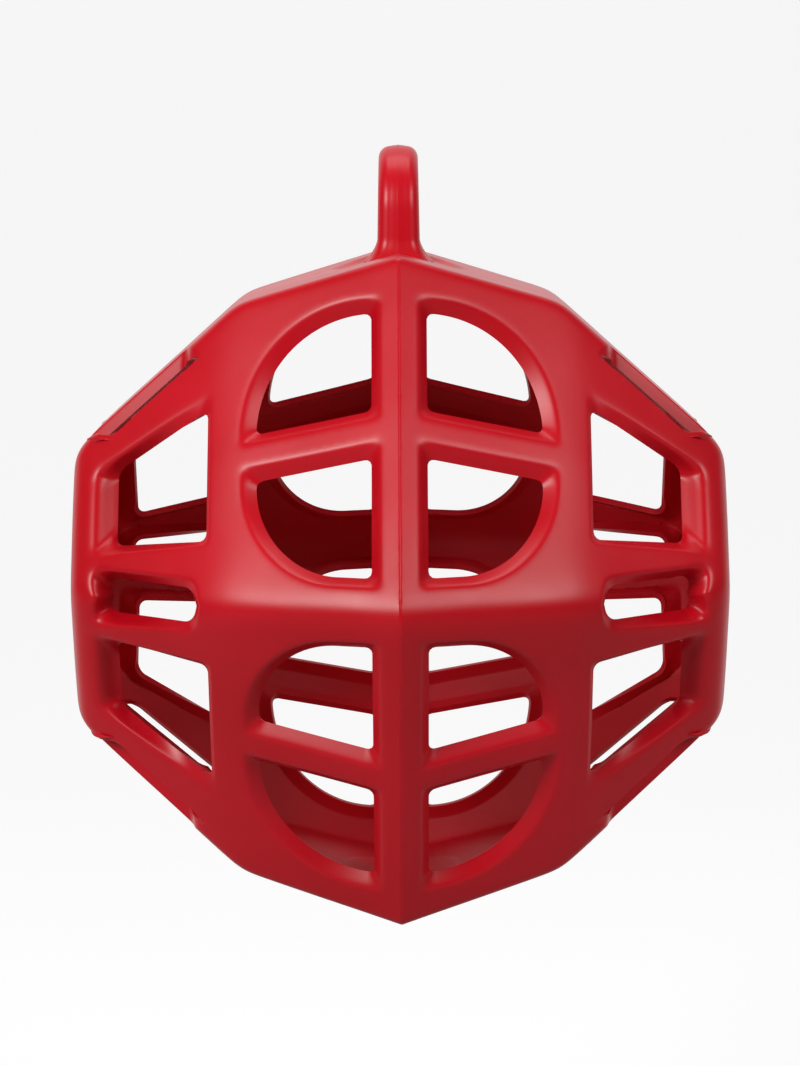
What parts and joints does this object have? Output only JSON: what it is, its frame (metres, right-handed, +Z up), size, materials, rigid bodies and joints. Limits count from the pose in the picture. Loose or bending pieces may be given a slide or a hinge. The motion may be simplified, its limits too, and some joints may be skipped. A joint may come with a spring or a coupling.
{
  "type": "hay ball feeder",
  "caption": "Hollow many-sided moulded plastic cage with round, corner and slot openings that a horse pulls hay through, hung by the loop on its top",
  "frame": {"origin": "where a hook bears, at the top of the eye of the hanging loop", "axes": "+Z up, the front seam faces -Y, +X to the right; the ball mirrors left to right and front to back"},
  "size_m": [0.4, 0.4098, 0.4577],
  "materials": {
    "moulded_red": "semi-gloss moulded polyethylene, one colour all through"
  },
  "bodies": {
    "root": {"front_left_upper_panel": "moulded_red", "front_left_upper_corner_panel": "moulded_red", "back_left_upper_panel": "moulded_red", "back_left_upper_corner_panel": "moulded_red", "left_upper_slanted_panel": "moulded_red", "left_upper_cap_panel": "moulded_red", "left_upper_side_panel": "moulded_red", "front_left_lower_panel": "moulded_red", "front_left_lower_corner_panel": "moulded_red", "back_left_lower_panel": "moulded_red", "back_left_lower_corner_panel": "moulded_red", "left_lower_slanted_panel": "moulded_red", "left_lower_cap_panel": "moulded_red", "left_lower_side_panel": "moulded_red", "front_right_upper_panel": "moulded_red", "front_right_upper_corner_panel": "moulded_red", "back_right_upper_panel": "moulded_red", "back_right_upper_corner_panel": "moulded_red", "right_upper_slanted_panel": "moulded_red", "right_upper_cap_panel": "moulded_red", "right_upper_side_panel": "moulded_red", "front_right_lower_panel": "moulded_red", "front_right_lower_corner_panel": "moulded_red", "back_right_lower_panel": "moulded_red", "back_right_lower_corner_panel": "moulded_red", "right_lower_slanted_panel": "moulded_red", "right_lower_cap_panel": "moulded_red", "right_lower_side_panel": "moulded_red", "hanging_loop": "moulded_red"}
  },
  "joints": []
}
